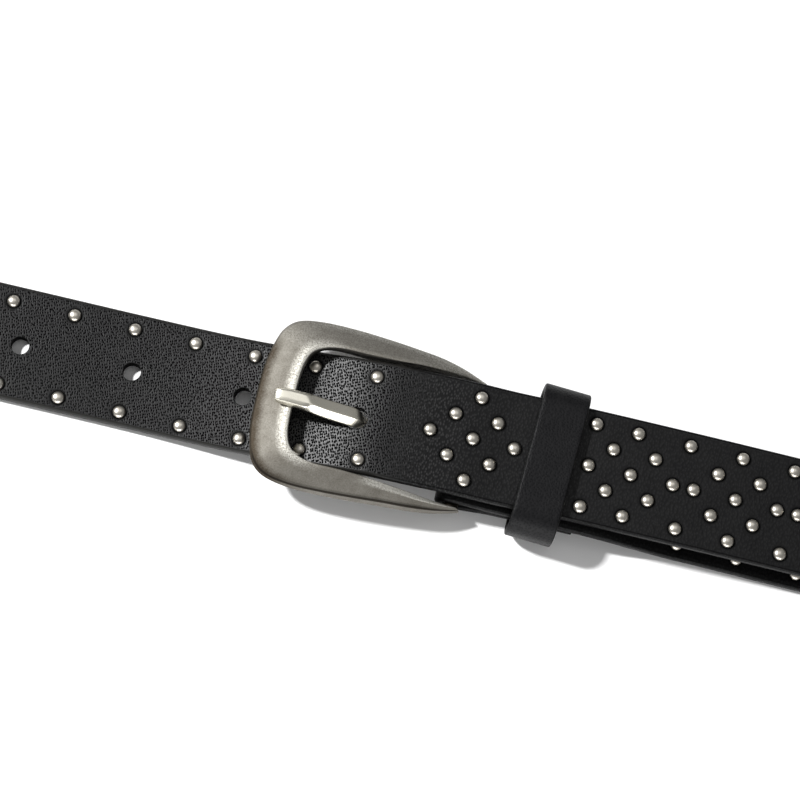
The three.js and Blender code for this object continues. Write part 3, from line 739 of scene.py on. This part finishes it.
def strap_material():
    m = Nodes("black_grained_leather")
    uv = m.add("ShaderNodeUVMap", uv_map="belt").outputs[0]
    grain = m.add("ShaderNodeAttribute", attribute_name="grain").outputs["Fac"]
    edge = m.add("ShaderNodeAttribute", attribute_name="edge").outputs["Fac"]
    dist = m.add("ShaderNodeAttribute", attribute_name="stud_dist").outputs["Fac"]
    mp = m.add("ShaderNodeMapping", vector_type="TEXTURE")
    mp.inputs["Rotation"].default_value = (0, 0, math.radians(70))
    mp.inputs["Scale"].default_value = (1.30, 0.96, 1.0)
    m.link(uv, mp.inputs[0])
    warp = m.add("ShaderNodeTexNoise")
    warp.inputs["Scale"].default_value = 2.6
    m.link(uv, warp.inputs["Vector"])
    add = m.add("ShaderNodeVectorMath", operation="MULTIPLY_ADD")
    m.link(warp.outputs["Color"], add.inputs[0])
    add.inputs[1].default_value = (0.07, 0.07, 0.0)
    m.link(mp.outputs[0], add.inputs[2])
    fine = m.add("ShaderNodeTexNoise")
    fine.inputs["Scale"].default_value = 26.0
    fine.inputs["Detail"].default_value = 3.0
    m.link(uv, fine.inputs["Vector"])
    big = m.add("ShaderNodeTexNoise")
    big.inputs["Scale"].default_value = 1.6
    big.inputs["Detail"].default_value = 3.0
    m.link(uv, big.inputs["Vector"])
    face = m.math("SUBTRACT", 1.0, edge, clamp=True)
    # ring: painted shade, a dark ring round each stud standing in for the shadow of its recess
    ring = m.maprange(dist, 1.5, 1.95, 0.0, 1.0, True)
    clear = m.maprange(dist, 1.5, 2.4, 0.1, 1.0, True)
    # pores: small dark pits in rows, open on the pulled part, closed on the free end
    small = m.add("ShaderNodeTexVoronoi", voronoi_dimensions="2D", feature="F1")
    small.inputs["Scale"].default_value = 19.0
    small.inputs["Randomness"].default_value = 0.55
    m.link(add.outputs[0], small.inputs["Vector"])
    tight = m.math("ADD", small.outputs["Distance"], m.maprange(fine.outputs["Fac"], 0.3, 0.7, -0.10, 0.10))
    pit = m.maprange(tight, 0.18, 0.46, 1.0, 0.0, True)
    depth = m.math("MULTIPLY", m.math("MULTIPLY", pit, m.maprange(grain, 0.60, 1.02, 0.06, 1.0)), m.math("MULTIPLY", face, clear), clamp=True)
    vary = m.mix(m.maprange(big.outputs["Fac"], 0.3, 0.7, 0.0, 1.0), (0.0046, 0.0046, 0.0049), (0.0068, 0.0068, 0.0070))
    col = m.mix(depth, vary, (0.0008, 0.0008, 0.0009))
    # painted shade: leather colour darkened in the ring round each stud
    col = m.mix(ring, (0.0010, 0.0010, 0.0011), col)
    # cut edges: black edge paint, painted lighter where the grain is open (left strap and bend), a painted light on the
    # edge face
    edge_colour_and_painted_light = m.mix(m.maprange(grain, 0.8, 1.0, 0.0, 1.0), (0.0020, 0.0020, 0.0022), (0.0120, 0.0116, 0.0106))
    col = m.mix(m.maprange(edge, 0.6, 1.0, 0.0, 1.0), col, edge_colour_and_painted_light)
    m.link(col, m.bsdf.inputs["Base Color"])
    rough = m.math("ADD", m.maprange(fine.outputs["Fac"], 0.3, 0.7, -0.03, 0.05), m.maprange(big.outputs["Fac"], 0.3, 0.7, 0.37, 0.41))
    rough = m.math("ADD", rough, m.maprange(edge, 0.6, 1.0, 0.0, 0.05))
    m.link(rough, m.bsdf.inputs["Roughness"])
    shine = m.math("MULTIPLY", m.maprange(depth, 0.0, 0.85, 1.0, 0.0), m.maprange(grain, 0.35, 1.0, SHINE * 0.52, SHINE))
    shine = m.math("MULTIPLY", shine, m.maprange(grain, 1.0, 1.6, 1.0, 1.65))
    shine = m.math("MULTIPLY", shine, m.math("MULTIPLY", m.maprange(dist, 1.5, 2.25, 0.10, 1.0, True), m.maprange(edge, 0.6, 1.0, 1.0, 0.55)))
    pebble = m.add("ShaderNodeTexVoronoi", voronoi_dimensions="2D", feature="F1")
    pebble.inputs["Scale"].default_value = 19.0
    across = m.add("ShaderNodeMapping")
    across.inputs["Rotation"].default_value = (0, 0, math.radians(-8))
    across.inputs["Scale"].default_value = (1.0, 0.6, 1.0)
    m.link(uv, across.inputs[0])
    m.link(across.outputs[0], pebble.inputs["Vector"])
    closed = m.maprange(grain, 0.62, 1.0, 1.0, 0.0)
    spark = m.maprange(pebble.outputs["Distance"], 0.10, 0.42, 2.3, 0.45)
    spark = m.math("ADD", 1.0, m.math("MULTIPLY", m.math("SUBTRACT", spark, 1.0), m.math("MULTIPLY", closed, m.maprange(grain, 0.38, 0.66, 0.35, 1.0))))
    m.link(m.math("MULTIPLY", shine, spark), m.bsdf.inputs["Specular IOR Level"])
    low = m.math("MULTIPLY", pebble.outputs["Distance"], m.maprange(grain, 0.40, 1.0, 1.1, 0.0))
    h = m.math("SUBTRACT", m.math("MULTIPLY", fine.outputs["Fac"], 0.8), m.math("ADD", depth, m.math("MULTIPLY", low, m.math("MULTIPLY", face, clear))))
    b1 = m.add("ShaderNodeBump")
    b1.inputs["Strength"].default_value = 1.0
    b1.inputs["Distance"].default_value = 0.000045
    m.link(h, b1.inputs["Height"])
    m.link(b1.outputs[0], m.bsdf.inputs["Normal"])
    return m.mat


def keeper_material():
    m = Nodes("black_smooth_leather")
    uv = m.add("ShaderNodeUVMap", uv_map="belt").outputs[0]
    edge = m.add("ShaderNodeAttribute", attribute_name="edge").outputs["Fac"]
    vor = m.add("ShaderNodeTexVoronoi", voronoi_dimensions="2D", feature="F1")
    vor.inputs["Scale"].default_value = 17.0
    m.link(uv, vor.inputs["Vector"])
    fine = m.add("ShaderNodeTexNoise")
    fine.inputs["Scale"].default_value = 30.0
    fine.inputs["Detail"].default_value = 5.0
    m.link(uv, fine.inputs["Vector"])
    big = m.add("ShaderNodeTexNoise")
    big.inputs["Scale"].default_value = 2.2
    m.link(uv, big.inputs["Vector"])
    col = m.mix(m.maprange(big.outputs["Fac"], 0.3, 0.7, 0.0, 1.0), (0.0030, 0.0030, 0.0036), (0.0050, 0.0050, 0.0056))
    col = m.mix(edge, col, (0.0025, 0.0025, 0.0028))
    m.link(col, m.bsdf.inputs["Base Color"])
    rough = m.math("ADD", m.maprange(fine.outputs["Fac"], 0.3, 0.7, 0.42, 0.55), m.math("MULTIPLY", edge, 0.08))
    m.link(rough, m.bsdf.inputs["Roughness"])
    m.link(m.maprange(vor.outputs["Distance"], 0.15, 0.4, 0.11, 0.19), m.bsdf.inputs["Specular IOR Level"])
    h = m.math("ADD", m.maprange(vor.outputs["Distance"], 0.0, 0.5, 0.0, 0.5), fine.outputs["Fac"])
    b = m.add("ShaderNodeBump")
    b.inputs["Strength"].default_value = 1.0
    b.inputs["Distance"].default_value = 0.00007
    m.link(h, b.inputs["Height"])
    m.link(b.outputs[0], m.bsdf.inputs["Normal"])
    return m.mat


def metal_material(name, bright, dark, rough_lo, rough_hi, speck=1.0, wear_and_painted_light=True):
    m = Nodes(name)
    co = m.add("ShaderNodeTexCoord").outputs["Object"]
    grainy = m.add("ShaderNodeTexNoise")
    grainy.inputs["Scale"].default_value = 3400.0
    grainy.inputs["Detail"].default_value = 4.0
    grainy.inputs["Roughness"].default_value = 0.7
    m.link(co, grainy.inputs["Vector"])
    blot = m.add("ShaderNodeTexNoise")
    blot.inputs["Scale"].default_value = 230.0
    blot.inputs["Detail"].default_value = 6.0
    blot.inputs["Roughness"].default_value = 0.65
    m.link(co, blot.inputs["Vector"])
    f = m.maprange(blot.outputs["Fac"], 0.36, 0.66, -0.05, 0.05)
    spots = m.maprange(grainy.outputs["Fac"], 0.36, 0.64, -0.36 * speck, 0.36 * speck)
    # per-vertex lightness of the frame: real wear on the left bar plus painted light and painted highlights on the arms
    if wear_and_painted_light:
        shown = m.add("ShaderNodeAttribute", attribute_name="polish_and_painted_light").outputs["Fac"]
        spots = m.math("MULTIPLY", spots, m.maprange(shown, 0.28, 0.75, 0.16, 1.30))
    f = m.math("ADD", f, spots)
    if wear_and_painted_light:
        f = m.math("ADD", f, shown, clamp=True)
    else:
        f = m.math("ADD", f, 0.6, clamp=True)
    col = m.mix(f, dark, bright)
    m.link(m.maprange(f, 0.0, 1.0, rough_hi, rough_lo), m.bsdf.inputs["Roughness"])
    # darkens the metal to near-black brown: a line on the lower arm's crease, and painted shade on the upper arm's
    # inner wall and the heel bar
    if wear_and_painted_light:
        line = m.add("ShaderNodeAttribute", attribute_name="dark_line_and_painted_shade").outputs["Fac"]
        col = m.mix(m.maprange(line, 0.25, 0.8, 0.0, 0.93, True), col, (0.020, 0.017, 0.014))
    m.link(col, m.bsdf.inputs["Base Color"])
    m.bsdf.inputs["Metallic"].default_value = 1.0
    b = m.add("ShaderNodeBump")
    b.inputs["Strength"].default_value = 0.5 * speck
    b.inputs["Distance"].default_value = 0.00006
    m.link(grainy.outputs["Fac"], b.inputs["Height"])
    m.link(b.outputs[0], m.bsdf.inputs["Normal"])
    return m.mat


mat_strap = strap_material()
mat_keeper = keeper_material()
# frame metal: antiqued nickel, with painted light, painted highlights and painted shade carried by its per-vertex
# attributes
mat_buckle = metal_material("antiqued_nickel_with_painted_light", (0.51, 0.50, 0.458), (0.060, 0.049, 0.036), 0.54, 0.70)
mat_prong = metal_material("satin_nickel", (0.96, 0.93, 0.82), (0.80, 0.765, 0.65), 0.25, 0.36, 0.55, False)
mat_stud = metal_material("stud_nickel", (0.78, 0.745, 0.67), (0.47, 0.435, 0.375), 0.28, 0.42, 0.3, False)

for ob, mat, slot, node in ((strap, mat_strap, "strap_leather", "belt_strap"), (studs, mat_stud, "strap_leather", None),
                            (keeper, mat_keeper, "keeper_leather", "keeper_loop"), (buckle, mat_buckle, "buckle_metal", "buckle_frame"),
                            (prong, mat_prong, "prong_metal", "buckle_prong")):
    ob.data.materials.clear()
    ob.data.materials.append(mat)
    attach(ob, "root")
    if node:
        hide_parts(node)

# ----------------------------------------------------------------- stage
floor = new_object("floor", [(-4, -4, 0), (4, -4, 0), (4, 4, 0), (-4, 4, 0)], [(0, 1, 2, 3)], smooth=False)
fm = Nodes("pale_floor")
fm.bsdf.inputs["Base Color"].default_value = (0.92, 0.92, 0.92, 1)
fm.bsdf.inputs["Roughness"].default_value = 0.8
fm.bsdf.inputs["Specular IOR Level"].default_value = 0.1
floor.data.materials.append(fm.mat)

world = bpy.data.worlds.new("studio")
bpy.context.scene.world = world
world.use_nodes = True
world.node_tree.nodes["Background"].inputs[0].default_value = (1.0, 1.0, 1.0, 1)
world.node_tree.nodes["Background"].inputs[1].default_value = 0.24


def area(name, direction, dist, size, power, size_y=None, aim=(0.0, -0.058, 0.0)):
    la = bpy.data.lights.new(name, "AREA")
    la.energy, la.size = power, size
    if size_y:
        la.shape, la.size_y = "RECTANGLE", size_y
    ob = bpy.data.objects.new(name, la)
    bpy.context.scene.collection.objects.link(ob)
    d = Vector(direction).normalized()
    ob.location = Vector(aim) + d * dist
    ob.rotation_euler = d.to_track_quat("Z", "Y").to_euler()
    return ob


area("key", (-1.0, 0.22, 1.0), 1.8, 0.14, 50.0)
area("front_fill", (0.05, -1.0, 0.24), 1.2, 1.2, 9.0, 0.35)
area("overhead", (0.05, 0.30, 0.95), 1.5, 0.8, 1.5)

# ---------------------------------------------------------------- camera
TILT, SIDE, ROLL = math.radians(14.81), math.radians(0.99), math.radians(13.12)
DIST, AIM_X, AIM_Y, FOCAL = 528.8, 8.36, 8.48, 2400.0
back = Vector((-math.sin(SIDE), -math.sin(TILT) * math.cos(SIDE), math.cos(TILT) * math.cos(SIDE)))
right0 = (-back).cross(Vector((0, 1, 0))).normalized()
up0 = right0.cross(-back)
right = right0 * math.cos(ROLL) + up0 * math.sin(ROLL)
up = -right0 * math.sin(ROLL) + up0 * math.cos(ROLL)
cam_data = bpy.data.cameras.new("camera")
cam_data.sensor_width = 36.0
cam_data.sensor_fit = "HORIZONTAL"
cam_data.lens = 36.0 * FOCAL / 800.0
cam_data.clip_start, cam_data.clip_end = 0.01, 20.0
cam = bpy.data.objects.new("camera", cam_data)
bpy.context.scene.collection.objects.link(cam)
pos = (Vector((AIM_X, AIM_Y, 0)) + back * DIST - Vector(ORIGIN)) * MM
m = Matrix((right, up, back)).transposed().to_4x4()
m.translation = pos
cam.matrix_world = m
bpy.context.scene.camera = cam

bpy.context.scene.view_settings.view_transform = "Standard"
bpy.context.scene.view_settings.look = "None"
